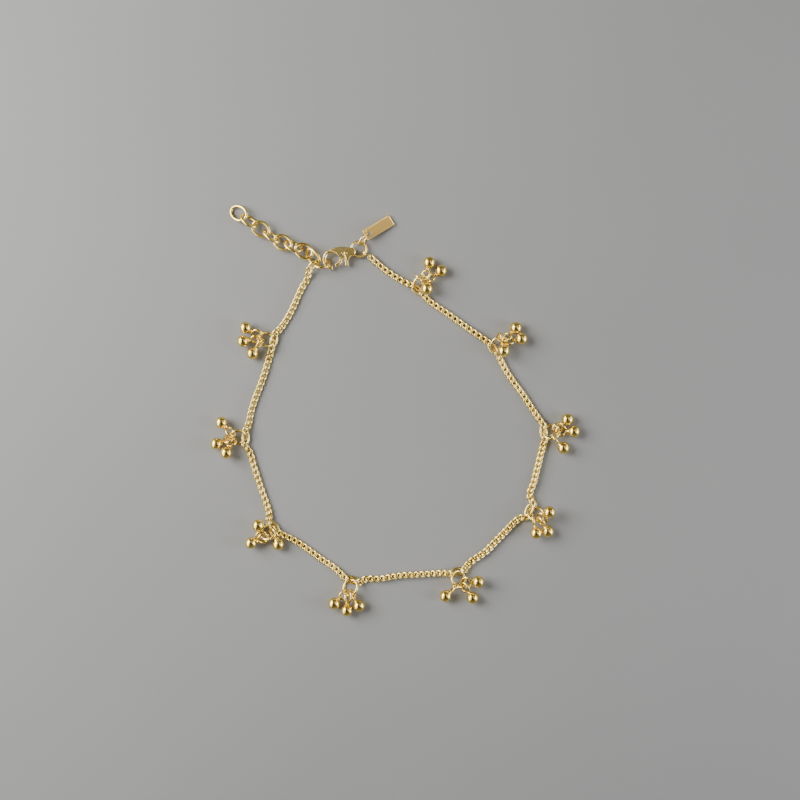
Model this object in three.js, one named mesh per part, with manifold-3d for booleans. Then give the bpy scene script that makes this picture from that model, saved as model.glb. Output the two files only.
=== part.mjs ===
// A charm anklet, lying closed and flat. Millimetres and degrees, +Z up, +X right, +Y away.
// The origin is on the surface it lies on, below the middle of the whole outline.
import * as THREE from 'three';
import { mergeVertices } from 'three/addons/utils/BufferGeometryUtils.js';
import Module from 'manifold-3d';

const wasm = await Module();
wasm.setup();

// Clearances
const passGap = 0.12;
const restGap = 0.05;

// Ball drops
const ballDiameter = 3.0;
const loopDiameter = 3.2;
const loopWire = 0.6;
const neckDiameter = 0.9;
const neckLength = 0.15;

// Jump rings
const charmRingDiameter = 4.6;
const charmRingWire = 0.62;
const charmRingPitch = 15;
const claspRingDiameter = 4.4;
const claspRingWire = 0.55;
const tagRingDiameter = 4.0;
const tagRingWire = 0.5;
const endRingDiameter = 4.6;
const endRingWire = 0.6;

// Curb chain
const chainWidth = 1.6;
const chainThickness = 0.95;
const chainWire = 0.45;
const chainStep = 3.2;
const openLinkLength = 3.5;
const openLinkWidth = 2.0;
const endLinkLength = 2.75;
const guardLength = 1.0;
const bendLength = 0.5;
const firstLinkAngle = -35;
const lastLinkAngle = 195;
const lastLinkHeading = 62;

// Extender links
const extenderLength = 5.2;
const extenderWidth = 4.1;
const extenderWire = 0.75;

// Lobster clasp. Its outlines are [x, y] from the rivet.
const claspThickness = 1.7;
const claspEdge = 0.18;
const hookThickness = 1.1;
const hookEdge = 0.25;
const hookInnerRadius = 1.65;
const hookWidth = 0.95;
const hookCentre = [-3.25, -1.55];
const hookStart = 80;
const hookEnd = 272;
const plateOutline = [
  [-4.0, 0.75], [-3.25, 0.375], [-1.875, -0.5], [-1.25, 0], [-0.375, -0.5], [0.1, -1.5], [0.75, -1.5],
  [1.5, -0.65], [2.35, -0.25], [2.5, 0.4], [2.3, 1.0], [1.75, 1.35], [0.9, 1.42], [-0.25, 1.575],
  [-1.5, 1.625], [-2.75, 1.375],
];
const leverThickness = 0.55;
const leverSlot = [[-0.2, 0.87], [-2.3, -0.1], [-2.3, -2.5], [1.0, -2.5], [0.87, 0]];
const leverArm = [-1.25, -1.45];
const leverStem = [0.2, -1.9];
const leverArmWidth = 0.75;
const gateThickness = 1.1;
const gateWidth = 0.8;
const gateLine = [[-1.25, -1.3], [-1.25, -2.0], [-1.75, -2.6], [-2.65, -3.05]];
const tabWidth = 0.85;
const tabLine = [[0.2, -1.7], [0.32, -3.2]];
const rivetDiameter = 0.7;
const hubDiameter = 1.5;
const tailEyeDiameter = 1.25;
const tailEyeDistance = 1.65;
const claspEyeLength = 4;

// Tag
const tagLength = 8.0;
const tagWidth = 2.8;
const tagThickness = 0.7;
const tagHoleDiameter = 1.4;
const tagHoleInset = 1.0;
const tagRimWidth = 0.2;
const tagRimDepth = 0.12;
const tagEdge = 0.08;

// How finely the drops are tried on their rings, and how near they may come
const seatStep = 6;
const liftStep = 0.25;
const mostLift = 2.25;
const rollStep = 12;
const mostRoll = 84;
const leastGap = 0.05;
const enoughGap = 0.15;
const liftCost = 0.05;
const rollCost = 0.0002;
const shiftCost = 0.1;
const ballPlay = 0.5;
const mostSeat = 150;
const settleStride = 3;
const samplesPerSide = 3;
const chainReach = 4.5;

// Facets round a ring or ball, and round a wire
const roundSides = 12;
const ballSides = 12;
const ballBands = 6;
const neckSides = 6;
const wireSides = 5;
const tubeSides = 8;
const hookSides = 14;

// The chain's chosen route, one list of [x, y] for each stretch between two charm stations
const chainRoute = [
  [[-5.9, 37.9], [-2.8, 35.3], [-0.5, 33.7], [2.0, 32.2], [3.9, 31.1]],
  [[8.4, 27.4], [13.3, 24.0], [17.9, 20.7], [22.4, 17.6]],
  [[27.2, 10.7], [29.4, 7.3], [31.9, 3.9], [34.4, 0.1], [36.3, -2.8]],
  [[37.3, -8.4], [36.5, -10.2], [35.7, -13.4], [34.7, -17.4], [33.6, -21.2]],
  [[31.0, -26.9], [26.5, -31.2], [22.3, -35.4], [18.7, -37.9]],
  [[10.8, -40.6], [6.2, -40.9], [1.2, -41.2], [-4.1, -42.0], [-7.3, -42.1]],
  [[-15.1, -39.3], [-18.4, -37.1], [-24.3, -32.9], [-27.6, -30.8]],
  [[-31.5, -25.5], [-33.5, -19.4], [-35.3, -13.8], [-36.3, -10.4]],
  [[-36.7, -3.6], [-35.6, 1.1], [-33.0, 8.1], [-31.4, 13.4]],
  [[-28.5, 20.6], [-26.0, 24.7], [-23.6, 30.0], [-22.1, 32.7]],
];

// Charm stations: [x, y] on the chain, the way the ring points, its lean from flat, and where its three
// balls lie from the station.
const stations = [
  { place: [5.4, 30.1], heading: 54, lean: 35, balls: [[3.1, 6.7], [6.1, 4.7], [2.5, 0.1]] },
  { place: [24.4, 15.4], heading: 39, lean: 35, balls: [[5.9, 5.4], [7.0, 2.4], [2.5, -0.6]] },
  { place: [37.0, -5.4], heading: 2, lean: -35, balls: [[5.9, 3.2], [7.5, 0.2], [4.9, -3.9]] },
  { place: [33.4, -24.8], heading: -30, lean: -35, balls: [[4.7, -0.4], [4.6, -5.3], [1.6, -5.6]] },
  { place: [15.4, -40.1], heading: -78, lean: -35, balls: [[5.2, -2.4], [3.9, -6.6], [-3.0, -6.2]] },
  { place: [-10.7, -42.2], heading: -104, lean: 35, balls: [[-4.5, -5.8], [-1.3, -7.5], [1.7, -6.4]] },
  { place: [-30.2, -29.0], heading: -135, lean: 35, balls: [[-3.8, 0.5], [-5.6, -3.9], [1.0, -4.0]] },
  { place: [-37.3, -6.9], heading: 172, lean: -35, balls: [[-5.9, 3.9], [-7.2, -1.4], [-4.6, -3.6]] },
  { place: [-30.3, 17.4], heading: 170, lean: 35, balls: [[-7.0, 3.2], [-7.6, -0.2], [-5.2, -3.2]] },
];

// Extender links, the free end first: [x, y] of the middle, the way it points, its pitch and its roll. Links
// that lie flat are carried by the standing links beside them, and lift is their height above the floor in
// wires.
const extenderLinks = [
  { place: [-39.0, 49.15], heading: -34, pitch: 18, roll: 2, lift: 0 },
  { place: [-36.35, 47.1], heading: -36, pitch: -1, roll: -54, lift: 0 },
  { place: [-33.45, 45.15], heading: -30, pitch: -1, roll: 10, lift: 1.15 },
  { place: [-30.73, 43.25], heading: -37, pitch: 0, roll: -62, lift: 0 },
  { place: [-28.0, 41.8], heading: -25, pitch: 2, roll: 4, lift: 1.15 },
  { place: [-25.35, 40.85], heading: -24, pitch: 1, roll: -50, lift: 0 },
  { place: [-22.75, 39.7], heading: -29, pitch: -2, roll: -4, lift: 1.15 },
  { place: [-20.4, 38.2], heading: -53, pitch: -2, roll: 48, lift: 0 },
];

// Where the rings, the clasp and the tag lie: [x, y, z], and the way they face
const endRing = { place: [-18.3, 36.6, 1.92], heading: 0, pitch: 0, lean: -53 };
const claspRing = { place: [-9.05, 40.2, 1.28], heading: 0, pitch: -9.7, lean: 0 };
const tagRing = { place: [-7.95, 42.5, 2.02], heading: 45, pitch: -30, lean: 76 };
const claspPlace = [-12.3, 39.1, 1.6];
const tagPose = { place: [-6.71, 43.98, 1.68], heading: 32, lean: 0 };

const metal = {
  chain: new THREE.MeshStandardMaterial({ color: 0xe6cf9a, roughness: 0.25, metalness: 1 }),
  polished: new THREE.MeshStandardMaterial({ color: 0xefcf8c, roughness: 0.12, metalness: 1 }),
  satin: new THREE.MeshStandardMaterial({ color: 0xe8c37a, roughness: 0.4, metalness: 1 }),
};

const anklet = new THREE.Group();

const radians = THREE.MathUtils.degToRad;
const degrees = THREE.MathUtils.radToDeg;
const up = new THREE.Vector3(0, 0, 1);

function level(heading) {
  const angle = radians(heading);
  return new THREE.Vector3(Math.cos(angle), Math.sin(angle), 0);
}

function spot([x, y], z) {
  return new THREE.Vector3(x, y, z);
}

function toSolid(geometry) {
  const bare = geometry.index ? geometry.toNonIndexed() : geometry.clone();
  bare.deleteAttribute('normal');
  bare.deleteAttribute('uv');
  const welded = mergeVertices(bare, 1e-4);
  const mesh = new wasm.Mesh({
    numProp: 3,
    vertProperties: new Float32Array(welded.attributes.position.array),
    triVerts: new Uint32Array(welded.index.array),
  });
  return new wasm.Manifold(mesh);
}

function toGeometry(solid) {
  const mesh = solid.getMesh();
  const geometry = new THREE.BufferGeometry();
  geometry.setAttribute('position', new THREE.BufferAttribute(mesh.vertProperties, 3));
  geometry.setIndex(new THREE.BufferAttribute(mesh.triVerts, 1));
  return geometry;
}

function addMesh(name, geometry, material, place, frame) {
  const mesh = new THREE.Mesh(geometry, material);
  mesh.name = name;
  if (place) {
    mesh.position.copy(place);
  }
  if (frame) {
    mesh.quaternion.setFromRotationMatrix(frame);
  }
  anklet.add(mesh);
  return mesh;
}

// A plane's two directions, the second leaning up from flat, and its normal
function leaningFrame(heading, pitch, lean) {
  const pitchAngle = radians(pitch);
  const leanAngle = radians(lean);
  const outward = level(heading).multiplyScalar(Math.cos(pitchAngle));
  outward.addScaledVector(up, Math.sin(pitchAngle));
  const sideways = level(heading + 90);
  const upright = outward.clone().cross(sideways);
  const leaning = sideways.clone().multiplyScalar(Math.cos(leanAngle));
  leaning.addScaledVector(upright, Math.sin(leanAngle));
  const normal = outward.clone().cross(leaning);
  const turn = new THREE.Matrix4().makeBasis(outward, leaning, normal);
  return { outward, sideways, leaning, turn };
}

function ringGeometry(diameter, wire) {
  return new THREE.TorusGeometry((diameter - wire) / 2, wire / 2, wireSides, roundSides);
}

// An oval link: a torus whose round centre line is drawn out to half a length and half a width
function linkGeometry(length, width, wire) {
  const halfLength = (length - wire) / 2;
  const halfWidth = (width - wire) / 2;
  const torus = new THREE.TorusGeometry(1, wire / 2, wireSides, roundSides);
  const position = torus.attributes.position;
  for (let index = 0; index < position.count; index += 1) {
    const x = position.getX(index);
    const y = position.getY(index);
    const distance = Math.hypot(x, y);
    const cos = x / distance;
    const sin = y / distance;
    const normal = new THREE.Vector2(halfWidth * cos, halfLength * sin).normalize();
    const offset = distance - 1;
    position.setX(index, halfLength * cos + normal.x * offset);
    position.setY(index, halfWidth * sin + normal.y * offset);
  }
  return torus;
}

// Ball drops: the ball at the origin, its loop towards +X in the XY plane
const ballRadius = ballDiameter / 2;
const loopReach = ballRadius + neckLength + loopDiameter / 2;
const loopPlay = loopDiameter / 2 - loopWire - charmRingWire / 2 - passGap;

function dropGeometry() {
  const ball = new THREE.SphereGeometry(ballRadius, ballSides, ballBands);
  const loop = ringGeometry(loopDiameter, loopWire).translate(loopReach, 0, 0);
  const neckInside = loopWire;
  const neckRadius = neckDiameter / 2;
  const neckTotal = neckInside + neckLength + loopWire / 2;
  const neck = new THREE.CylinderGeometry(neckRadius, neckRadius, neckTotal, neckSides);
  neck.rotateZ(Math.PI / 2).translate(ballRadius + (neckLength + loopWire / 2 - neckInside) / 2, 0, 0);
  return toGeometry(toSolid(ball).add(toSolid(loop)).add(toSolid(neck)));
}

// Charm rings
const charmRingRadius = (charmRingDiameter - charmRingWire) / 2;

// The height at which a station's link is held by the ring that passes under the chain
function stationHeight(frame) {
  const rise = frame.outward.z;
  const swing = Math.hypot(frame.outward.z, frame.leaning.z);
  return charmRingWire / 2 + restGap + charmRingRadius * (swing - rise);
}

// Points along a wire or through a ball, each with its radius, to measure how near two pieces come
function ringSamples(diameter, wire, frame) {
  const radius = (diameter - wire) / 2;
  const samples = [];
  for (let side = 0; side < roundSides; side += 1) {
    const turn = 2 * Math.PI / roundSides;
    const corner = new THREE.Vector3(radius, 0, 0).applyAxisAngle(up, side * turn);
    const next = new THREE.Vector3(radius, 0, 0).applyAxisAngle(up, (side + 1) * turn);
    for (let part = 0; part < samplesPerSide; part += 1) {
      const at = corner.clone().lerp(next, part / samplesPerSide).applyMatrix4(frame);
      samples.push({ at, radius: wire / 2 });
    }
  }
  return samples;
}

function dropSamples() {
  const samples = ringSamples(loopDiameter, loopWire, new THREE.Matrix4().makeTranslation(loopReach, 0, 0));
  samples.push({ at: new THREE.Vector3(0, 0, 0), radius: ballRadius });
  samples.push({ at: new THREE.Vector3(ballRadius + neckLength, 0, 0), radius: neckDiameter / 2 });
  return samples;
}

function placedSamples(samples, frame) {
  return samples.map((sample) => ({ at: sample.at.clone().applyMatrix4(frame), radius: sample.radius }));
}

function gapBetween(first, second, enough) {
  let gap = enough;
  for (const one of first) {
    for (const other of second) {
      const reach = one.radius + other.radius + gap;
      const squared = one.at.distanceToSquared(other.at);
      if (squared < reach * reach) {
        gap = Math.sqrt(squared) - one.radius - other.radius;
        if (gap < 0) {
          return gap;
        }
      }
    }
  }
  return gap;
}

function floorGap(samples) {
  return Math.min(...samples.map((sample) => sample.at.z - sample.radius));
}

// The chain beside a station, as rows of points across its width
function chainSamples(station, frame) {
  const joint = stationJoint(station, frame, 1);
  const samples = [];
  for (let along = -chainReach; along <= chainReach; along += chainWire) {
    for (const across of [-1, 0, 1]) {
      const at = joint.place.clone().addScaledVector(joint.along, along);
      at.addScaledVector(joint.across, across * (chainWidth - chainThickness) / 2);
      samples.push({ at, radius: chainThickness / 2 });
    }
  }
  return samples;
}

// Every way a drop can hang on its ring with its ball in place: its seat on the ring, its lift and its roll
function dropChoices(station, frame, centre, ball, obstacles, samples, play) {
  const choices = [];
  for (let angle = -mostSeat; angle <= mostSeat; angle += seatStep) {
    const seat = centre.clone();
    seat.addScaledVector(frame.outward, charmRingRadius * Math.cos(radians(angle)));
    seat.addScaledVector(frame.leaning, charmRingRadius * Math.sin(radians(angle)));
    const tangent = frame.leaning.clone().multiplyScalar(Math.cos(radians(angle)));
    tangent.addScaledVector(frame.outward, -Math.sin(radians(angle)));
    for (let lift = 0; lift <= mostLift; lift += liftStep) {
      const wanted = spot([station.place[0] + ball[0], station.place[1] + ball[1]], ballRadius + lift);
      const place = wanted.clone();
      const toSeat = seat.clone().sub(place);
      const slack = (toSeat.length() - loopReach) / loopPlay;
      const shift = Math.max(0, Math.abs(slack) - 1) * loopPlay;
      if (shift > play) {
        continue;
      }
      toSeat.normalize();
      place.addScaledVector(toSeat, shift * Math.sign(slack));
      const level = tangent.clone().cross(toSeat).normalize();
      for (let roll = -mostRoll; roll <= mostRoll; roll += rollStep) {
        const across = level.clone().applyAxisAngle(toSeat, radians(roll));
        const turn = new THREE.Matrix4().makeBasis(toSeat, across, toSeat.clone().cross(across));
        const placed = placedSamples(samples, turn.clone().setPosition(place));
        const gap = Math.min(floorGap(placed), gapBetween(placed, obstacles, enoughGap));
        if (gap >= leastGap) {
          const cost = liftCost * lift + rollCost * Math.abs(roll) + shiftCost * shift;
          choices.push({ place, turn, placed, gap, score: gap - cost });
        }
      }
    }
  }
  return choices.sort((one, other) => other.score - one.score);
}

// Take each drop's best choice in turn, as the others lie, until none moves
function settle(choices) {
  let best = null;
  for (const first of choices[0].filter((choice, index) => index % settleStride === 0)) {
    const chosen = [first];
    let score = first.score;
    for (const own of choices.slice(1)) {
      let pick = null;
      let pickScore = -Infinity;
      for (const choice of own) {
        if (choice.score <= pickScore) {
          break;
        }
        let gap = choice.gap;
        for (const other of chosen) {
          gap = Math.min(gap, gapBetween(choice.placed, other.placed, enoughGap));
        }
        const value = Math.min(choice.score, gap - (choice.gap - choice.score));
        if (value > pickScore) {
          pick = choice;
          pickScore = value;
        }
      }
      chosen.push(pick);
      score = Math.min(score, pickScore);
      if (!pick || (best && score <= best.score)) {
        break;
      }
    }
    if (chosen.length === choices.length && chosen.every(Boolean) && (!best || score > best.score)) {
      best = { chosen, score };
    }
  }
  return best;
}

// Where the balls can't lie quite as listed, they are let shift a little more, until all three drops fit
function addCharm(number, station, dropShape) {
  const frame = leaningFrame(station.heading, charmRingPitch, station.lean);
  const start = spot(station.place, stationHeight(frame));
  const centre = start.clone().addScaledVector(frame.outward, charmRingRadius);
  const ring = ringGeometry(charmRingDiameter, charmRingWire);
  addMesh(`charm_ring_${number}`, ring, metal.polished, centre, frame.turn);
  const ringFrame = frame.turn.clone().setPosition(centre);
  const ringObstacle = ringSamples(charmRingDiameter, charmRingWire, ringFrame);
  const obstacles = ringObstacle.concat(chainSamples(station, frame));
  const samples = dropSamples();
  let settled = null;
  for (let play = ballPlay; !settled; play += ballPlay) {
    settled = settle(station.balls.map((ball) => (
      dropChoices(station, frame, centre, ball, obstacles, samples, play)
    )));
  }
  settled.chosen.forEach((choice, index) => {
    addMesh(`drop_${number}_${index + 1}`, dropShape, metal.polished, choice.place, choice.turn);
  });
}

const layHeight = chainThickness / 2 + restGap;

// A curve whose section keeps its flat side level: the section's x points up and its y to the side
class LevelCurve extends THREE.CatmullRomCurve3 {
  getPoint(share, target) {
    const point = super.getPoint(share, target);
    point.z = Math.max(point.z, layHeight);
    return point;
  }

  computeFrenetFrames(segments) {
    const tangents = [];
    const normals = [];
    const binormals = [];
    for (let index = 0; index <= segments; index += 1) {
      const tangent = this.getTangentAt(index / segments);
      const side = tangent.clone().cross(up).normalize();
      tangents.push(tangent);
      normals.push(side.clone().cross(tangent));
      binormals.push(side);
    }
    return { tangents, normals, binormals };
  }
}

// The chain: flattened tubes along the route, joined by the open links that the rings pass through
function chainTube(points) {
  const curve = new LevelCurve(points, false, 'centripetal');
  const section = new THREE.Shape();
  const halfWidth = chainWidth / 2;
  const halfThickness = chainThickness / 2;
  for (let side = 0; side < tubeSides; side += 1) {
    const angle = (side + 0.5) * 2 * Math.PI / tubeSides;
    const flatness = Math.cos(Math.PI / tubeSides);
    const x = halfThickness * Math.cos(angle) / flatness;
    const y = halfWidth * Math.sin(angle) / flatness;
    if (side === 0) {
      section.moveTo(x, y);
    } else {
      section.lineTo(x, y);
    }
  }
  section.closePath();
  const steps = Math.max(2, Math.round(curve.getLength() / chainStep));
  return new THREE.ExtrudeGeometry(section, { steps, extrudePath: curve, bevelEnabled: false });
}

function placedLink(length, width, along, across, place) {
  const normal = along.clone().cross(across);
  const frame = new THREE.Matrix4().makeBasis(along, across, normal).setPosition(place);
  return toSolid(linkGeometry(length, width, chainWire).applyMatrix4(frame));
}

// A station's link lies square to its ring; sense is 1 where the chain runs with the ring's sideways way
function stationJoint(station, frame, sense) {
  return {
    place: spot(station.place, stationHeight(frame)),
    along: frame.sideways.clone().multiplyScalar(sense),
    across: frame.outward.clone(),
    halfLength: openLinkLength / 2 - chainWire / 2,
    guard: guardLength,
  };
}

function chainGeometry(first, last) {
  const ends = [first];
  stations.forEach((station, index) => {
    const before = chainRoute[index].at(-1);
    const after = chainRoute[index + 1][0];
    const frame = leaningFrame(station.heading, charmRingPitch, station.lean);
    const run = new THREE.Vector3(after[0] - before[0], after[1] - before[1], 0);
    ends.push(stationJoint(station, frame, Math.sign(run.dot(frame.sideways))));
  });
  ends.push(last);
  let chain = null;
  const join = (solid) => {
    chain = chain ? chain.add(solid) : solid;
  };
  chainRoute.forEach((points, index) => {
    const from = ends[index];
    const to = ends[index + 1];
    const free = (point, end) => Math.hypot(point[0] - end.place.x, point[1] - end.place.y)
      > end.halfLength + end.guard + (end.guard ? bendLength : 0);
    const open = points.filter((point) => free(point, from) && free(point, to));
    const path = open.map((point) => spot(point, layHeight));
    path.unshift(from.place.clone().addScaledVector(from.along, from.halfLength + from.guard));
    path.push(to.place.clone().addScaledVector(to.along, -to.halfLength - to.guard));
    if (from.guard) {
      path.unshift(from.place.clone().addScaledVector(from.along, from.halfLength));
    }
    if (to.guard) {
      path.push(to.place.clone().addScaledVector(to.along, -to.halfLength));
    }
    join(toSolid(chainTube(path)));
  });
  ends.forEach((end) => {
    const length = 2 * end.halfLength + chainWire;
    join(placedLink(length, openLinkWidth, end.along, end.across, end.place));
  });
  return toGeometry(chain);
}

function addPlaced(name, geometry, material, pose) {
  const frame = leaningFrame(pose.heading, pose.pitch, pose.lean);
  addMesh(name, geometry, material, new THREE.Vector3(...pose.place), frame.turn);
}

// The chain's first link stands on edge round the clasp's ring
function firstJoint() {
  const frame = leaningFrame(claspRing.heading, claspRing.pitch, claspRing.lean);
  const radius = (claspRingDiameter - claspRingWire) / 2;
  const angle = radians(firstLinkAngle);
  const halfLength = endLinkLength / 2 - chainWire / 2;
  const wire = new THREE.Vector3(...claspRing.place);
  wire.addScaledVector(frame.outward, radius * Math.cos(angle));
  wire.addScaledVector(frame.leaning, radius * Math.sin(angle));
  const along = level(firstLinkAngle);
  const shift = halfLength - chainWire / 2 - claspRingWire / 2 - passGap;
  return { place: wire.addScaledVector(along, shift), along, across: up.clone(), halfLength, guard: 0 };
}

// The chain's last link lies square to the wire of the end ring
function lastJoint() {
  const frame = leaningFrame(endRing.heading, endRing.pitch, endRing.lean);
  const radius = (endRingDiameter - endRingWire) / 2;
  const angle = radians(lastLinkAngle);
  const halfLength = endLinkLength / 2 - chainWire / 2;
  const wire = new THREE.Vector3(...endRing.place);
  wire.addScaledVector(frame.outward, radius * Math.cos(angle));
  wire.addScaledVector(frame.leaning, radius * Math.sin(angle));
  const tangent = frame.leaning.clone().multiplyScalar(Math.cos(angle));
  tangent.addScaledVector(frame.outward, -Math.sin(angle));
  const along = level(lastLinkHeading);
  along.addScaledVector(tangent, -along.dot(tangent)).normalize();
  const across = tangent.clone().cross(along);
  const shift = halfLength - chainWire / 2 - endRingWire / 2 - passGap;
  return { place: wire.addScaledVector(along, -shift), along, across, halfLength, guard: 0 };
}

function addExtender() {
  const halfLength = (extenderLength - extenderWire) / 2;
  const halfWidth = (extenderWidth - extenderWire) / 2;
  extenderLinks.forEach((link, index) => {
    const frame = leaningFrame(link.heading, link.pitch, link.roll);
    const drop = Math.hypot(halfLength * frame.outward.z, halfWidth * frame.leaning.z);
    const lift = link.lift * (extenderWire + passGap);
    const centre = spot(link.place, extenderWire / 2 + restGap + drop + lift);
    const geometry = linkGeometry(extenderLength, extenderWidth, extenderWire);
    addMesh(`extender_link_${index + 1}`, geometry, metal.polished, centre, frame.turn);
  });
}

// A flat piece from an outline, its middle at height 0, its edges cut back by a small chamfer
function flatPiece(outline, thickness, edge) {
  const shape = new THREE.Shape(outline.map(([x, y]) => new THREE.Vector2(x, y)));
  const geometry = new THREE.ExtrudeGeometry(shape, {
    depth: thickness - 2 * edge,
    bevelEnabled: edge > 0,
    bevelThickness: edge,
    bevelSize: edge,
    bevelOffset: -edge,
    bevelSegments: 1,
  });
  return toSolid(geometry.translate(0, 0, edge - thickness / 2));
}

function disc(diameter, thickness) {
  const cylinder = new THREE.CylinderGeometry(diameter / 2, diameter / 2, thickness, roundSides);
  return toSolid(cylinder.rotateX(Math.PI / 2));
}

// The outline of a bar of one width along a few points
function barOutline(points, width) {
  const left = [];
  const right = [];
  points.forEach((point, index) => {
    const before = points[Math.max(0, index - 1)];
    const after = points[Math.min(points.length - 1, index + 1)];
    const run = new THREE.Vector2(after[0] - before[0], after[1] - before[1]).normalize();
    right.push([point[0] + run.y * width / 2, point[1] - run.x * width / 2]);
    left.unshift([point[0] - run.y * width / 2, point[1] + run.x * width / 2]);
  });
  return [...right, ...left];
}

function arcPoints(centre, radius, from, to, count) {
  const points = [];
  for (let index = 0; index <= count; index += 1) {
    const angle = radians(from + (to - from) * index / count);
    points.push([centre[0] + radius * Math.cos(angle), centre[1] + radius * Math.sin(angle)]);
  }
  return points;
}

// The clasp's body: plate, hook and rivet in one, with a slot for the lever and an eye for its ring
function claspBody() {
  const outer = arcPoints(hookCentre, hookInnerRadius + hookWidth, hookStart, hookEnd, hookSides);
  const inner = arcPoints(hookCentre, hookInnerRadius, hookEnd, hookStart, hookSides);
  const hook = flatPiece([...outer, ...inner], hookThickness, hookEdge);
  const eyeAngle = Math.atan2(claspRing.place[1] - claspPlace[1], claspRing.place[0] - claspPlace[0]);
  const eye = disc(tailEyeDiameter, claspEyeLength).rotate([90, 0, 0]).translate([tailEyeDistance, 0, 0]);
  const slot = flatPiece(leverSlot, leverThickness + 2 * passGap, 0);
  const hubSlot = disc(hubDiameter + 2 * passGap, leverThickness + 2 * passGap);
  const rivet = disc(rivetDiameter, claspThickness - 2 * claspEdge);
  const plate = flatPiece(plateOutline, claspThickness, claspEdge).add(hook);
  const open = plate.subtract(slot).subtract(hubSlot).subtract(eye.rotate([0, 0, degrees(eyeAngle)]));
  return toGeometry(open.add(rivet));
}

function claspLever() {
  const arm = flatPiece(barOutline([[0, 0], leverArm], leverArmWidth), leverThickness, 0);
  const stem = flatPiece(barOutline([[0, 0], leverStem], leverArmWidth), leverThickness, 0);
  const gate = flatPiece(barOutline(gateLine, gateWidth), gateThickness, claspEdge);
  const tab = flatPiece(barOutline(tabLine, tabWidth), gateThickness, claspEdge);
  const hub = disc(hubDiameter, leverThickness).add(arm).add(stem).add(gate).add(tab);
  return toGeometry(hub.subtract(disc(rivetDiameter + 2 * passGap, claspThickness)));
}

function rectangle(length, width) {
  const x = length / 2;
  const y = width / 2;
  return [[-x, -y], [x, -y], [x, y], [-x, y]];
}

// The tag, its hole at the origin: a plate with a thin raised rim on its upper face
function tagGeometry() {
  const toMiddle = tagLength / 2 - tagHoleInset;
  const plate = flatPiece(rectangle(tagLength, tagWidth), tagThickness, tagEdge);
  const inside = rectangle(tagLength - 2 * tagRimWidth, tagWidth - 2 * tagRimWidth);
  const field = flatPiece(inside, 2 * tagRimDepth, 0);
  const blank = plate.subtract(field.translate([0, 0, tagThickness / 2])).translate([toMiddle, 0, 0]);
  return toGeometry(blank.subtract(disc(tagHoleDiameter, 2 * tagThickness)));
}

// The tag hangs by its hole and slopes down until its far end rests on the floor
function tagPitch() {
  const reach = tagLength - tagHoleInset;
  const slope = Math.atan2(tagThickness / 2, reach);
  const drop = (tagPose.place[2] - restGap) / Math.hypot(reach, tagThickness / 2);
  return degrees(slope - Math.asin(drop));
}

addMesh('chain', chainGeometry(firstJoint(), lastJoint()), metal.chain);
const dropShape = dropGeometry();
stations.forEach((station, index) => addCharm(index + 1, station, dropShape));
addExtender();
addPlaced('end_ring', ringGeometry(endRingDiameter, endRingWire), metal.polished, endRing);
addPlaced('clasp_ring', ringGeometry(claspRingDiameter, claspRingWire), metal.polished, claspRing);
addPlaced('tag_ring', ringGeometry(tagRingDiameter, tagRingWire), metal.polished, tagRing);
addMesh('clasp_body', claspBody(), metal.polished, new THREE.Vector3(...claspPlace));
addMesh('clasp_lever', claspLever(), metal.polished, new THREE.Vector3(...claspPlace));
addPlaced('tag', tagGeometry(), metal.satin, { ...tagPose, pitch: tagPitch() });

export default anklet;
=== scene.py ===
import math

import bmesh
import bpy
import numpy as np
from mathutils import Matrix, Vector


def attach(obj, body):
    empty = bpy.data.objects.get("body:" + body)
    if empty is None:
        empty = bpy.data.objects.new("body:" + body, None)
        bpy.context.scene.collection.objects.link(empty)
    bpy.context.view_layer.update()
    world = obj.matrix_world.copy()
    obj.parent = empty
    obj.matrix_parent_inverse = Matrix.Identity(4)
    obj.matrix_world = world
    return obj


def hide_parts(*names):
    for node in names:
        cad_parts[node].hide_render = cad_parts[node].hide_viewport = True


milli = 0.001

# The camera looks straight down, as in the photograph
cameraSettings = {"place": (1.2, 2.6, 350.0), "lens": 63.0, "sensor": 36.0}
cameraData = bpy.data.cameras.new("camera")
cameraData.lens = cameraSettings["lens"]
cameraData.sensor_width = cameraSettings["sensor"]
camera = bpy.data.objects.new("camera", cameraData)
camera.location = Vector(cameraSettings["place"]) * milli
bpy.context.scene.collection.objects.link(camera)
bpy.context.scene.camera = camera
print("camera made")

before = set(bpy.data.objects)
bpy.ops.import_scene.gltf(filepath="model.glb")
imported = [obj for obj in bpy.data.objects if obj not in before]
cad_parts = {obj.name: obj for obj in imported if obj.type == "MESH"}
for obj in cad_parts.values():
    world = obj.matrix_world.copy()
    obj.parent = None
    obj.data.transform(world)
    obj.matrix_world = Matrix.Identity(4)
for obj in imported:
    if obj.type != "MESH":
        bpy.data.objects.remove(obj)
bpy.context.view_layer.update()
print("frame loaded,", len(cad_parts), "nodes")


# Materials. Deep and bright are the gold's two tones, and wear drives the roughness and a slight bump.

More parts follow.
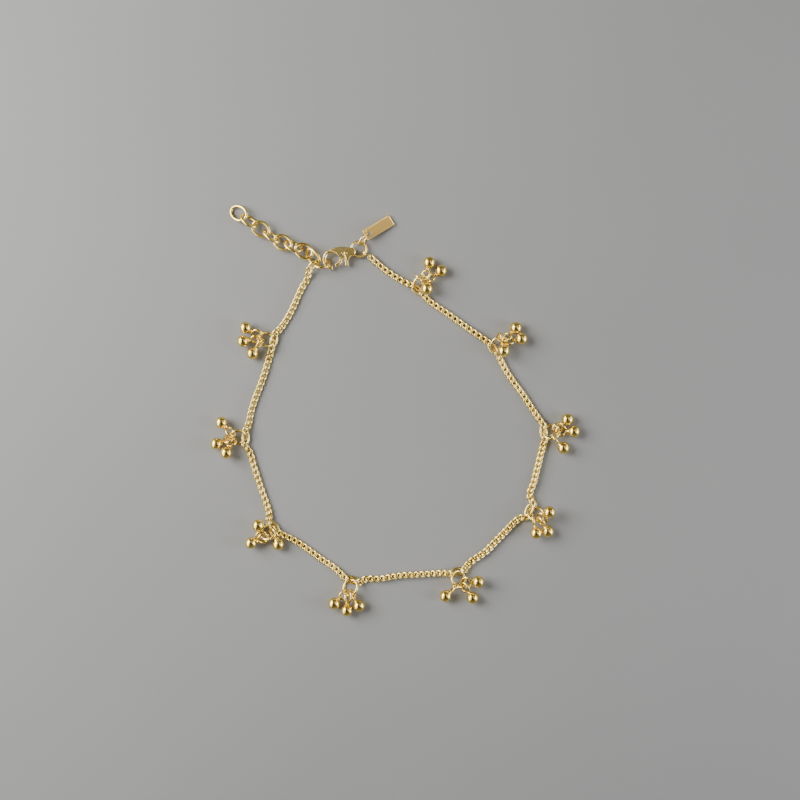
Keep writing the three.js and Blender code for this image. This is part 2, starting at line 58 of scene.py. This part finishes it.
def goldMaterial(name, settings):
    material = bpy.data.materials.new(name)
    material.use_nodes = True
    nodes = material.node_tree.nodes
    links = material.node_tree.links
    shader = nodes["Principled BSDF"]
    shader.inputs["Metallic"].default_value = 1.0
    coordinates = nodes.new("ShaderNodeTexCoord")
    tarnish = nodes.new("ShaderNodeTexNoise")
    tarnish.inputs["Scale"].default_value = settings["tarnishScale"]
    tarnish.inputs["Detail"].default_value = 3.0
    links.new(coordinates.outputs["Object"], tarnish.inputs["Vector"])
    tint = nodes.new("ShaderNodeValToRGB")
    tint.color_ramp.elements[0].position = 0.35
    tint.color_ramp.elements[0].color = (*settings["deep"], 1.0)
    tint.color_ramp.elements[1].position = 0.7
    tint.color_ramp.elements[1].color = (*settings["bright"], 1.0)
    links.new(tarnish.outputs["Fac"], tint.inputs["Fac"])
    links.new(tint.outputs["Color"], shader.inputs["Base Color"])
    wear = nodes.new("ShaderNodeTexNoise")
    wear.inputs["Scale"].default_value = settings["wearScale"]
    wear.inputs["Detail"].default_value = 5.0
    links.new(coordinates.outputs["Object"], wear.inputs["Vector"])
    rough = nodes.new("ShaderNodeMapRange")
    rough.inputs["To Min"].default_value = settings["rough"][0]
    rough.inputs["To Max"].default_value = settings["rough"][1]
    links.new(wear.outputs["Fac"], rough.inputs["Value"])
    links.new(rough.outputs["Result"], shader.inputs["Roughness"])
    bump = nodes.new("ShaderNodeBump")
    bump.inputs["Strength"].default_value = settings["bump"]
    bump.inputs["Distance"].default_value = settings["bumpDepth"] * milli
    links.new(wear.outputs["Fac"], bump.inputs["Height"])
    links.new(bump.outputs["Normal"], shader.inputs["Normal"])
    return material


polishedGold = goldMaterial("polished_gold", {
    "deep": (0.88, 0.64, 0.16), "bright": (0.97, 0.78, 0.26), "tarnishScale": 260.0,
    "rough": (0.05, 0.12), "wearScale": 2600.0, "bump": 0.05, "bumpDepth": 0.02,
})
wireGold = goldMaterial("wire_gold", {
    "deep": (0.90, 0.66, 0.17), "bright": (0.98, 0.79, 0.27), "tarnishScale": 260.0,
    "rough": (0.12, 0.20), "wearScale": 1800.0, "bump": 0.04, "bumpDepth": 0.02,
})  # rings and extender, a softer polish than the balls
chainGold = goldMaterial("chain_gold", {
    "deep": (0.86, 0.66, 0.20), "bright": (0.96, 0.80, 0.32), "tarnishScale": 320.0,
    "rough": (0.12, 0.24), "wearScale": 2200.0, "bump": 0.06, "bumpDepth": 0.02,
})
satinGold = goldMaterial("satin_gold", {
    "deep": (0.94, 0.64, 0.20), "bright": (0.99, 0.71, 0.25), "tarnishScale": 240.0,
    "rough": (0.24, 0.36), "wearScale": 3000.0, "bump": 0.12, "bumpDepth": 0.03,
})
castGold = goldMaterial("cast_gold", {
    "deep": (0.97, 0.75, 0.26), "bright": (1.0, 0.83, 0.34), "tarnishScale": 300.0,
    "rough": (0.16, 0.26), "wearScale": 1500.0, "bump": 0.08, "bumpDepth": 0.03,
})


def floorMaterial(settings):
    material = bpy.data.materials.new("pale_floor")
    material.use_nodes = True
    nodes = material.node_tree.nodes
    links = material.node_tree.links
    shader = nodes["Principled BSDF"]
    shader.inputs["Roughness"].default_value = settings["rough"]
    coordinates = nodes.new("ShaderNodeTexCoord")
    cloud = nodes.new("ShaderNodeTexNoise")
    cloud.inputs["Scale"].default_value = settings["scale"]
    links.new(coordinates.outputs["Object"], cloud.inputs["Vector"])
    tint = nodes.new("ShaderNodeValToRGB")
    tint.color_ramp.elements[0].color = (*settings["dark"], 1.0)
    tint.color_ramp.elements[1].color = (*settings["light"], 1.0)
    links.new(cloud.outputs["Fac"], tint.inputs["Fac"])
    links.new(tint.outputs["Color"], shader.inputs["Base Color"])
    return material


print("materials made")


# Mesh helpers. Shapes are made in millimetres and placed by a matrix in millimetres.

# A round wire along the points. Across is a direction that the wire never takes.
def sweptWire(points, across, radius, sides, closed=True):
    points = np.asarray(points, float)
    count = len(points)
    if closed:
        tangents = np.roll(points, -1, axis=0) - np.roll(points, 1, axis=0)
    else:
        tangents = np.gradient(points, axis=0)
    tangents /= np.linalg.norm(tangents, axis=1)[:, None]
    sideways = np.cross(tangents, np.asarray(across, float))
    sideways /= np.linalg.norm(sideways, axis=1)[:, None]
    upright = np.cross(sideways, tangents)
    turns = np.arange(sides) * 2 * math.pi / sides
    section = np.cos(turns)[None, :, None] * sideways[:, None, :]
    section = section + np.sin(turns)[None, :, None] * upright[:, None, :]
    vertices = (points[:, None, :] + radius * section).reshape(-1, 3)
    faces = []
    for step in range(count if closed else count - 1):
        here = step * sides
        there = (step + 1) % count * sides
        for side in range(sides):
            other = (side + 1) % sides
            faces.append((here + side, here + other, there + other, there + side))
    if not closed:
        faces.append(tuple(range(sides)))
        faces.append(tuple((count - 1) * sides + side for side in reversed(range(sides))))
    return vertices, faces


def joined(parts):
    vertices = []
    faces = []
    start = 0
    for partVertices, partFaces in parts:
        vertices.append(partVertices)
        faces.extend(tuple(index + start for index in face) for face in partFaces)
        start += len(partVertices)
    return np.vstack(vertices), faces


def addPiece(name, mesh, material, body, node=None):
    for polygon in mesh.polygons:
        polygon.use_smooth = True
    mesh.materials.clear()
    mesh.materials.append(material)
    piece = bpy.data.objects.new(name, mesh)
    bpy.context.scene.collection.objects.link(piece)
    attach(piece, body)
    if node:
        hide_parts(node)
    return piece


def meshFrom(name, vertices, faces):
    mesh = bpy.data.meshes.new(name)
    mesh.from_pydata((np.asarray(vertices) * milli).tolist(), [], faces)
    shape = bmesh.new()
    shape.from_mesh(mesh)
    bmesh.ops.recalc_face_normals(shape, faces=shape.faces)
    shape.to_mesh(mesh)
    shape.free()
    return mesh


# A CAD node's corners in millimetres, each once
def nodePoints(node):
    points = np.array([vertex.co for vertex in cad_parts[node].data.vertices]) / milli
    return np.unique(points.round(4), axis=0)


# The middle of some points and their axes, the longest first
def axesOf(points):
    centre = points.mean(axis=0)
    _, _, axes = np.linalg.svd(points - centre)
    if np.linalg.det(axes) < 0:
        axes[2] = -axes[2]
    return centre, axes


# Jump rings, each with the fine cut where it closes

ringSettings = {
    "charm": {"radius": 1.99, "wire": 0.31},
    "end_ring": {"radius": 2.0, "wire": 0.3},
    "clasp_ring": {"radius": 1.925, "wire": 0.275},
    "tag_ring": {"radius": 1.75, "wire": 0.25},
    "steps": 72, "sides": 16, "cut": 0.05,
}


def ringMesh(name, node, size, cutAngle):
    centre, axes = axesOf(nodePoints(node))
    half = ringSettings["cut"] / size["radius"] / 2
    turns = cutAngle + np.linspace(half, 2 * math.pi - half, ringSettings["steps"])
    points = centre + size["radius"] * (np.cos(turns)[:, None] * axes[0] + np.sin(turns)[:, None] * axes[1])
    vertices, faces = sweptWire(points, axes[2], size["wire"], ringSettings["sides"], closed=False)
    return meshFrom(name, vertices, faces)


for number in range(1, 10):
    node = f"charm_ring_{number}"
    mesh = ringMesh(f"jump_ring_{number}", node, ringSettings["charm"], 1.3 * number)
    addPiece(f"jump_ring_{number}", mesh, wireGold, "anklet", node)
for node, cutAngle in (("end_ring", 0.6), ("clasp_ring", 2.2), ("tag_ring", 1.1)):
    mesh = ringMesh(f"{node}_wire", node, ringSettings[node], cutAngle)
    addPiece(f"{node}_wire", mesh, wireGold, "anklet", node)
print("rings made")


# Extender: oval links of round wire

extenderSettings = {"halfLength": 2.225, "halfWidth": 1.675, "wire": 0.375, "steps": 64, "sides": 16}


def ovalLink(settings, along, across, normal, centre):
    turns = np.arange(settings["steps"]) * 2 * math.pi / settings["steps"]
    points = centre + settings["halfLength"] * np.cos(turns)[:, None] * along
    points = points + settings["halfWidth"] * np.sin(turns)[:, None] * across
    return sweptWire(points, normal, settings["wire"], settings["sides"])


for number in range(1, 9):
    node = f"extender_link_{number}"
    centre, axes = axesOf(nodePoints(node))
    vertices, faces = ovalLink(extenderSettings, axes[0], axes[1], axes[2], centre)
    mesh = meshFrom(f"oval_link_{number}", vertices, faces)
    addPiece(f"oval_link_{number}", mesh, wireGold, "anklet", node)
print("extender made")


# Drops: a polished ball, a soldered neck and a round loop

dropSettings = {
    "ball": 1.5, "ballAround": 56, "ballUp": 28, "loopReach": 3.25, "loopRadius": 1.3, "loopWire": 0.3,
    "loopSteps": 56, "loopSides": 14,
    "neck": ((1.26, 0.84), (1.38, 0.70), (1.48, 0.57), (1.58, 0.49), (1.68, 0.44), (1.80, 0.38),
             (1.92, 0.28)),  # along the drop, and out from its axis
    "neckSides": 24, "fitSteps": (0.25, 0.08, 0.03), "nearBall": 0.15, "pastNeck": 0.2,
}


def dropShape(settings):
    shape = bmesh.new()
    bmesh.ops.create_uvsphere(shape, u_segments=settings["ballAround"], v_segments=settings["ballUp"],
                              radius=settings["ball"])
    profile = [shape.verts.new((along, radius, 0.0)) for along, radius in settings["neck"]]
    edges = [shape.edges.new(pair) for pair in zip(profile, profile[1:])]
    bmesh.ops.spin(shape, geom=profile + edges, cent=(0, 0, 0), axis=(1, 0, 0), angle=2 * math.pi,
                   steps=settings["neckSides"], use_merge=True)
    turns = np.arange(settings["loopSteps"]) * 2 * math.pi / settings["loopSteps"]
    points = np.stack([settings["loopReach"] + settings["loopRadius"] * np.cos(turns),
                       settings["loopRadius"] * np.sin(turns), np.zeros_like(turns)], axis=1)
    vertices, faces = sweptWire(points, (0, 0, 1), settings["loopWire"], settings["loopSides"])
    made = [shape.verts.new(vertex) for vertex in vertices]
    for face in faces:
        shape.faces.new([made[index] for index in face])
    bmesh.ops.recalc_face_normals(shape, faces=shape.faces)
    mesh = bpy.data.meshes.new("drop_shape")
    shape.to_mesh(mesh)
    shape.free()
    return mesh


# The centre of the ball, from the CAD corners that lie on it
def ballFit(points, guess, radius):
    for tolerance in dropSettings["fitSteps"]:
        distance = np.linalg.norm(points - guess, axis=1)
        on = points[np.abs(distance - radius) < tolerance]
        system = np.hstack([2 * on, np.ones((len(on), 1))])
        guess = np.linalg.lstsq(system, (on ** 2).sum(axis=1), rcond=None)[0][:3]
    return guess


def dropPlace(node, settings):
    points = nodePoints(node)
    centre, axes = axesOf(points)
    along = (points - centre) @ axes[0]
    best = None
    for end, sense in ((along.min(), 1), (along.max(), -1)):
        guess = centre + (end + sense * settings["ball"]) * axes[0]
        near = np.abs(np.linalg.norm(points - guess, axis=1) - settings["ball"]) < settings["nearBall"]
        if best is None or near.sum() > best[0]:
            best = (near.sum(), guess)
    ball = ballFit(points, best[1], settings["ball"])
    neckEnd = settings["loopReach"] - settings["loopRadius"] + settings["pastNeck"]
    loop = points[np.linalg.norm(points - ball, axis=1) > neckEnd]
    towards = loop.mean(axis=0) - ball
    towards /= np.linalg.norm(towards)
    normal = np.linalg.svd(loop - loop.mean(axis=0))[2][2]
    normal -= normal @ towards * towards
    normal /= np.linalg.norm(normal)
    across = np.cross(normal, towards)
    turned = np.stack([towards, across, normal], axis=1)
    return Matrix([[*row, at] for row, at in zip(turned, ball)] + [[0, 0, 0, 1]])


sharedDrop = dropShape(dropSettings)
for station in range(1, 10):
    for number in range(1, 4):
        node = f"drop_{station}_{number}"
        mesh = sharedDrop.copy()
        mesh.name = f"ball_{station}_{number}"
        mesh.transform(Matrix.Scale(milli, 4) @ dropPlace(node, dropSettings))
        addPiece(f"ball_{station}_{number}", mesh, polishedGold, "anklet", node)
print("drops made")


# Curb chain: small twisted links along the chain's route, in millimetres as in the CAD

chainSettings = {
    "halfLength": 0.985, "halfWidth": 0.61, "twist": 0.28, "wire": 0.28, "steps": 26, "sides": 12,
    "filed": 0.46,  # half the thickness that the links are filed to
    "pitch": 1.41, "play": 0.02, "restGap": 0.04, "clear": 0.6, "curveSteps": 40,
    "openHalfLength": 1.6, "openHalfWidth": 0.78, "openSteps": 40, "openSides": 12,
    "endHalfLength": 1.15, "endHalfWidth": 0.775, "endPlay": 0.12, "ringGap": 0.05,
    "rollRise": 1.6, "sway": 0.05, "swayStep": 2.3,
}
chainRoute = (
    ((-5.9, 37.9), (-2.8, 35.3), (-0.5, 33.7), (2.0, 32.2), (3.9, 31.1)),
    ((8.4, 27.4), (13.3, 24.0), (17.9, 20.7), (22.4, 17.6)),
    ((27.2, 10.7), (29.4, 7.3), (31.9, 3.9), (34.4, 0.1), (36.3, -2.8)),
    ((37.3, -8.4), (36.5, -10.2), (35.7, -13.4), (34.7, -17.4), (33.6, -21.2)),
    ((31.0, -26.9), (26.5, -31.2), (22.3, -35.4), (18.7, -37.9)),
    ((10.8, -40.6), (6.2, -40.9), (1.2, -41.2), (-4.1, -42.0), (-7.3, -42.1)),
    ((-15.1, -39.3), (-18.4, -37.1), (-24.3, -32.9), (-27.6, -30.8)),
    ((-31.5, -25.5), (-33.5, -19.4), (-35.3, -13.8), (-36.3, -10.4)),
    ((-36.7, -3.6), (-35.6, 1.1), (-33.0, 8.1), (-31.4, 13.4)),
    ((-28.5, 20.6), (-26.0, 24.7), (-23.6, 30.0), (-22.1, 32.7)),
)
# Stations: place, the way the ring points, its lean
chainStations = (
    ((5.4, 30.1), 54, 35), ((24.4, 15.4), 39, 35), ((37.0, -5.4), 2, -35), ((33.4, -24.8), -30, -35),
    ((15.4, -40.1), -78, -35), ((-10.7, -42.2), -104, 35), ((-30.2, -29.0), -135, 35),
    ((-37.3, -6.9), 172, -35), ((-30.3, 17.4), 170, 35),
)
stationPitch = 15  # degrees that each ring rises from the chain
stretchRoll = (4, 6, 12, 38, 24, 42, 6, 28, 34, 40)  # degrees that each stretch is rolled on to its edge


def levelWay(heading):
    angle = math.radians(heading)
    return np.array([math.cos(angle), math.sin(angle), 0.0])


def leaningFrame(heading, pitch, lean):
    pitchAngle = math.radians(pitch)
    leanAngle = math.radians(lean)
    outward = levelWay(heading) * math.cos(pitchAngle) + np.array([0, 0, math.sin(pitchAngle)])
    sideways = levelWay(heading + 90)
    leaning = sideways * math.cos(leanAngle) + np.cross(outward, sideways) * math.sin(leanAngle)
    return outward, sideways, leaning


# The open link that a charm ring passes through
def stationJoint(index):
    place, heading, lean = chainStations[index]
    outward, sideways, leaning = leaningFrame(heading, stationPitch, lean)
    ring = ringSettings["charm"]
    height = ring["wire"] + chainSettings["ringGap"]
    height += ring["radius"] * (math.hypot(outward[2], leaning[2]) - outward[2])
    before = np.array(chainRoute[index][-1])
    after = np.array(chainRoute[index + 1][0])
    run = np.array([*(after - before), 0.0]) / np.linalg.norm(after - before)
    along = sideways * np.sign(run @ sideways) + run
    along /= np.linalg.norm(along)
    across = outward - outward @ along * along
    across /= np.linalg.norm(across)
    return {"place": np.array([*place, height]), "along": along, "across": across,
            "halfLength": chainSettings["openHalfLength"], "halfWidth": chainSettings["openHalfWidth"]}


# The open link at an end of the chain, round the clasp's ring or the end ring
def endJoint(node, atStart):
    end = endSettings[node]
    ring = ringSettings[node]
    outward, _, leaning = leaningFrame(0, end["pitch"], end["lean"])
    turn = math.radians(end["seat"])
    spot = np.array(end["place"]) + ring["radius"] * (math.cos(turn) * outward + math.sin(turn) * leaning)
    tangent = math.cos(turn) * leaning - math.sin(turn) * outward
    along = levelWay(end["heading"])
    across = np.array([0.0, 0.0, 1.0])
    if not atStart:
        along = along - along @ tangent * tangent
        along /= np.linalg.norm(along)
        across = np.cross(tangent, along)
    shift = chainSettings["endHalfLength"] - chainSettings["wire"] - ring["wire"] - chainSettings["endPlay"]
    return {"place": spot + along * (shift if atStart else -shift), "along": along, "across": across,
            "halfLength": chainSettings["endHalfLength"], "halfWidth": chainSettings["endHalfWidth"]}


endSettings = {
    "clasp_ring": {"place": (-9.05, 40.2, 1.28), "pitch": -9.7, "lean": 0, "seat": -35, "heading": -35},
    "end_ring": {"place": (-18.3, 36.6, 1.92), "pitch": 0, "lean": -53, "seat": 195, "heading": 62},
}
joints = [endJoint("clasp_ring", True)]
joints += [stationJoint(index) for index in range(len(chainStations))]
joints += [endJoint("end_ring", False)]


# Even points along a centripetal Catmull-Rom curve, a whole number of links long
def smoothRoute(points, spacing):
    points = np.asarray(points, float)
    ends = np.vstack([2 * points[0] - points[1], points, 2 * points[-1] - points[-2]])
    fine = []
    for p0, p1, p2, p3 in zip(ends, ends[1:], ends[2:], ends[3:]):
        t1 = math.sqrt(np.linalg.norm(p1 - p0))
        t2 = t1 + math.sqrt(np.linalg.norm(p2 - p1))
        t3 = t2 + math.sqrt(np.linalg.norm(p3 - p2))
        for t in np.linspace(t1, t2, chainSettings["curveSteps"], endpoint=False):
            a1 = p0 * (t1 - t) / t1 + p1 * t / t1
            a2 = p1 * (t2 - t) / (t2 - t1) + p2 * (t - t1) / (t2 - t1)
            a3 = p2 * (t3 - t) / (t3 - t2) + p3 * (t - t2) / (t3 - t2)
            b1 = a1 * (t2 - t) / t2 + a2 * t / t2
            b2 = a2 * (t3 - t) / (t3 - t1) + a3 * (t - t1) / (t3 - t1)
            fine.append(b1 * (t2 - t) / (t2 - t1) + b2 * (t - t1) / (t2 - t1))
    fine.append(points[-1])
    fine = np.array(fine)
    lengths = np.concatenate([[0], np.cumsum(np.linalg.norm(np.diff(fine, axis=0), axis=1))])
    places = np.linspace(0, lengths[-1], max(2, int(round(lengths[-1] / spacing)) + 1))
    return np.stack([np.interp(places, lengths, fine[:, axis]) for axis in range(3)], axis=1)


def stretchPath(index):
    start = joints[index]
    end = joints[index + 1]
    overlap = chainSettings["halfLength"] - 2 * chainSettings["wire"] - chainSettings["play"]
    path = [start["place"] + start["along"] * (start["halfLength"] + overlap)]
    lay = chainSettings["restGap"] + chainSettings["filed"]
    for x, y in chainRoute[index]:
        spot = np.array([x, y])
        reaches = [np.linalg.norm(spot - joint["place"][:2]) - joint["halfLength"] for joint in (start, end)]
        if min(reaches) > chainSettings["halfLength"] + chainSettings["clear"]:
            path.append(np.array([x, y, lay]))
    path.append(end["place"] - end["along"] * (end["halfLength"] + overlap))
    return smoothRoute(path, chainSettings["pitch"])


def curbLink():
    turns = np.arange(chainSettings["steps"]) * 2 * math.pi / chainSettings["steps"]
    points = np.stack([chainSettings["halfLength"] * np.cos(turns),
                       chainSettings["halfWidth"] * np.sin(turns),
                       chainSettings["twist"] * np.sin(2 * turns)], axis=1)
    vertices, faces = sweptWire(points, (0, 0, 1), chainSettings["wire"], chainSettings["sides"])
    vertices[:, 2] = np.clip(vertices[:, 2], -chainSettings["filed"], chainSettings["filed"])
    return vertices, faces


# A link that would dip under the floor is lifted on to it
def liftedClear(vertices):
    lift = max(0.0, chainSettings["restGap"] - vertices[:, 2].min())
    return vertices + np.array([0.0, 0.0, lift])


def chainParts():
    linkVertices, linkFaces = curbLink()
    parts = []
    up = np.array([0.0, 0.0, 1.0])
    for index in range(len(chainRoute)):
        centres = stretchPath(index)
        count = len(centres)
        ways = np.gradient(centres, axis=0)
        for number, centre in enumerate(centres):
            along = ways[number] / np.linalg.norm(ways[number])
            share = number / (count - 1)
            rise = min(1.0, chainSettings["rollRise"] * math.sin(math.pi * share))
            roll = math.radians(stretchRoll[index]) * rise
            roll += chainSettings["sway"] * math.sin(chainSettings["swayStep"] * number + index)
            across = np.cross(up, along)
            across /= np.linalg.norm(across)
            normal = np.cross(along, across)
            rolled = math.cos(roll) * across + math.sin(roll) * normal
            turned = np.stack([along, rolled, np.cross(along, rolled)], axis=1)
            parts.append((liftedClear(linkVertices @ turned.T + centre), linkFaces))
    for joint in joints:
        settings = {"steps": chainSettings["openSteps"], "sides": chainSettings["openSides"],
                    "wire": chainSettings["wire"], "halfLength": joint["halfLength"],
                    "halfWidth": joint["halfWidth"]}
        normal = np.cross(joint["along"], joint["across"])
        vertices, faces = ovalLink(settings, joint["along"], joint["across"], normal, joint["place"])
        parts.append((liftedClear(vertices), faces))
    return parts


parts = chainParts()
vertices, faces = joined(parts)
addPiece("curb_chain", meshFrom("curb_chain", vertices, faces), chainGold, "anklet", "chain")
print("chain made,", len(parts), "links,", len(faces), "faces")


# Clasp and tag: the CAD forms with their edges rounded over as by tumbling and polishing

claspSettings = {
    "weld": 0.002, "smooth": 0.5,
    "body": {"voxel": 0.06, "passes": 7}, "lever": {"voxel": 0.05, "passes": 3},
    "tag": {"voxel": 0.06, "passes": 3},
    "rivet": (-12.3, 39.1), "rivetRadius": 0.42, "rivetTop": 2.44, "rivetBottom": 0.76, "rivetRise": 0.12,
    "rivetSink": 0.02,
}


def softened(name, node, settings):
    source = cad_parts[node]
    copy = bpy.data.objects.new("softening", source.data.copy())
    bpy.context.scene.collection.objects.link(copy)
    weld = copy.modifiers.new("weld", "WELD")
    weld.merge_threshold = claspSettings["weld"] * milli
    remesh = copy.modifiers.new("remesh", "REMESH")
    remesh.mode = "VOXEL"
    remesh.voxel_size = settings["voxel"] * milli
    smooth = copy.modifiers.new("smooth", "SMOOTH")
    smooth.factor = claspSettings["smooth"]
    smooth.iterations = settings["passes"]
    graph = bpy.context.evaluated_depsgraph_get()
    mesh = bpy.data.meshes.new_from_object(copy.evaluated_get(graph))
    mesh.name = name
    bpy.data.objects.remove(copy)
    return mesh


addPiece("lobster_body", softened("lobster_body", "clasp_body", claspSettings["body"]), castGold,
         "anklet", "clasp_body")
addPiece("lobster_lever", softened("lobster_lever", "clasp_lever", claspSettings["lever"]), castGold,
         "lever", "clasp_lever")
addPiece("bar_tag", softened("bar_tag", "tag", claspSettings["tag"]), satinGold,
         "anklet", "tag")


def rivetHeads(settings):
    shape = bmesh.new()
    for height, sense in ((settings["rivetTop"], 1), (settings["rivetBottom"], -1)):
        made = bmesh.ops.create_uvsphere(shape, u_segments=24, v_segments=12, radius=settings["rivetRadius"])
        flatten = Matrix.Diagonal((1, 1, settings["rivetRise"] / settings["rivetRadius"], 1))
        place = Matrix.Translation((*settings["rivet"], height - sense * settings["rivetSink"]))
        bmesh.ops.transform(shape, matrix=place @ flatten, verts=made["verts"])
    bmesh.ops.scale(shape, vec=(milli, milli, milli), verts=shape.verts)
    mesh = bpy.data.meshes.new("rivet_heads")
    shape.to_mesh(mesh)
    shape.free()
    return mesh


addPiece("rivet_heads", rivetHeads(claspSettings), castGold, "anklet")
print("clasp and tag made")


# Floor, lights, and cards that only the reflections in the gold see

stageSettings = {
    "floorHalf": 600.0,
    "floor": {"rough": 0.65, "scale": 9.0, "dark": (0.255, 0.261, 0.270), "light": (0.300, 0.307, 0.317)},
    "cards": (
        {"name": "dark_card", "low": (-120.0, -320.0), "high": (120.0, 10.0),
         "place": (0.0, 0.0, 345.0), "turn": 0.0, "color": (0.02, 0.012, 0.006), "glow": 0.0},
        {"name": "warm_card", "low": (-10.0, 10.0), "high": (60.0, 200.0),
         "place": (0.0, 0.0, 345.0), "turn": 0.0, "color": (0.35, 0.18, 0.06), "glow": 0.0},
        {"name": "left_card", "low": (-430.0, -250.0), "high": (-150.0, 350.0),
         "place": (0.0, 0.0, 345.0), "turn": 0.0, "color": (1.0, 0.93, 0.78), "glow": 0.9},
        {"name": "right_card", "low": (95.0, -120.0), "high": (330.0, 330.0),
         "place": (0.0, 0.0, 345.0), "turn": 0.0, "color": (1.0, 0.91, 0.74), "glow": 0.4},
        {"name": "window_card", "low": (-300.0, -420.0), "high": (300.0, 420.0),
         "place": (-430.0, 60.0, 330.0), "turn": 60.0, "color": (1.0, 0.94, 0.80), "glow": 5.5},
        {"name": "side_card", "low": (-110.0, -320.0), "high": (110.0, 320.0),
         "place": (430.0, 0.0, 150.0), "turn": -75.0, "color": (1.0, 0.95, 0.84), "glow": 3.5},
    ),
    "world": (1.0, 0.94, 0.82), "worldStrength": 0.20,
}


def addPlane(name, low, high, height, material):
    corners = [(low[0], low[1]), (high[0], low[1]), (high[0], high[1]), (low[0], high[1])]
    mesh = bpy.data.meshes.new(name)
    mesh.from_pydata([(x * milli, y * milli, height * milli) for x, y in corners], [], [(0, 1, 2, 3)])
    mesh.materials.append(material)
    plane = bpy.data.objects.new(name, mesh)
    bpy.context.scene.collection.objects.link(plane)
    return plane


half = stageSettings["floorHalf"]
addPlane("floor", (-half, -half), (half, half), 0.0, floorMaterial(stageSettings["floor"]))
for settings in stageSettings["cards"]:
    cardMaterial = bpy.data.materials.new(settings["name"])
    cardMaterial.use_nodes = True
    shader = cardMaterial.node_tree.nodes["Principled BSDF"]
    shader.inputs["Base Color"].default_value = (*settings["color"], 1.0)
    shader.inputs["Roughness"].default_value = 1.0
    shader.inputs["Emission Color"].default_value = (*settings["color"], 1.0)
    shader.inputs["Emission Strength"].default_value = settings["glow"]
    card = addPlane(settings["name"], settings["low"], settings["high"], 0.0, cardMaterial)
    card.location = Vector(settings["place"]) * milli
    card.rotation_euler = (0.0, math.radians(settings["turn"]), 0.0)
    card.visible_camera = False
    card.visible_shadow = False
    card.visible_diffuse = False

world = bpy.data.worlds.new("soft_room")
world.use_nodes = True
world.node_tree.nodes["Background"].inputs["Color"].default_value = (*stageSettings["world"], 1.0)
world.node_tree.nodes["Background"].inputs["Strength"].default_value = stageSettings["worldStrength"]
bpy.context.scene.world = world

lightSettings = (
    {"name": "key", "place": (-330, 120, 300), "size": (300, 340), "power": 3.6, "color": (1.0, 0.98, 0.95)},
    {"name": "fill", "place": (380, -60, 200), "size": (160, 260), "power": 0.9, "color": (0.95, 0.97, 1.0)},
)
for settings in lightSettings:
    data = bpy.data.lights.new(settings["name"], "AREA")
    data.shape = "RECTANGLE"
    data.size, data.size_y = (value * milli for value in settings["size"])
    data.energy = settings["power"]
    data.color = settings["color"]
    light = bpy.data.objects.new(settings["name"], data)
    light.location = Vector(settings["place"]) * milli
    light.rotation_euler = (-light.location).to_track_quat("-Z", "Y").to_euler()
    bpy.context.scene.collection.objects.link(light)
print("stage made")
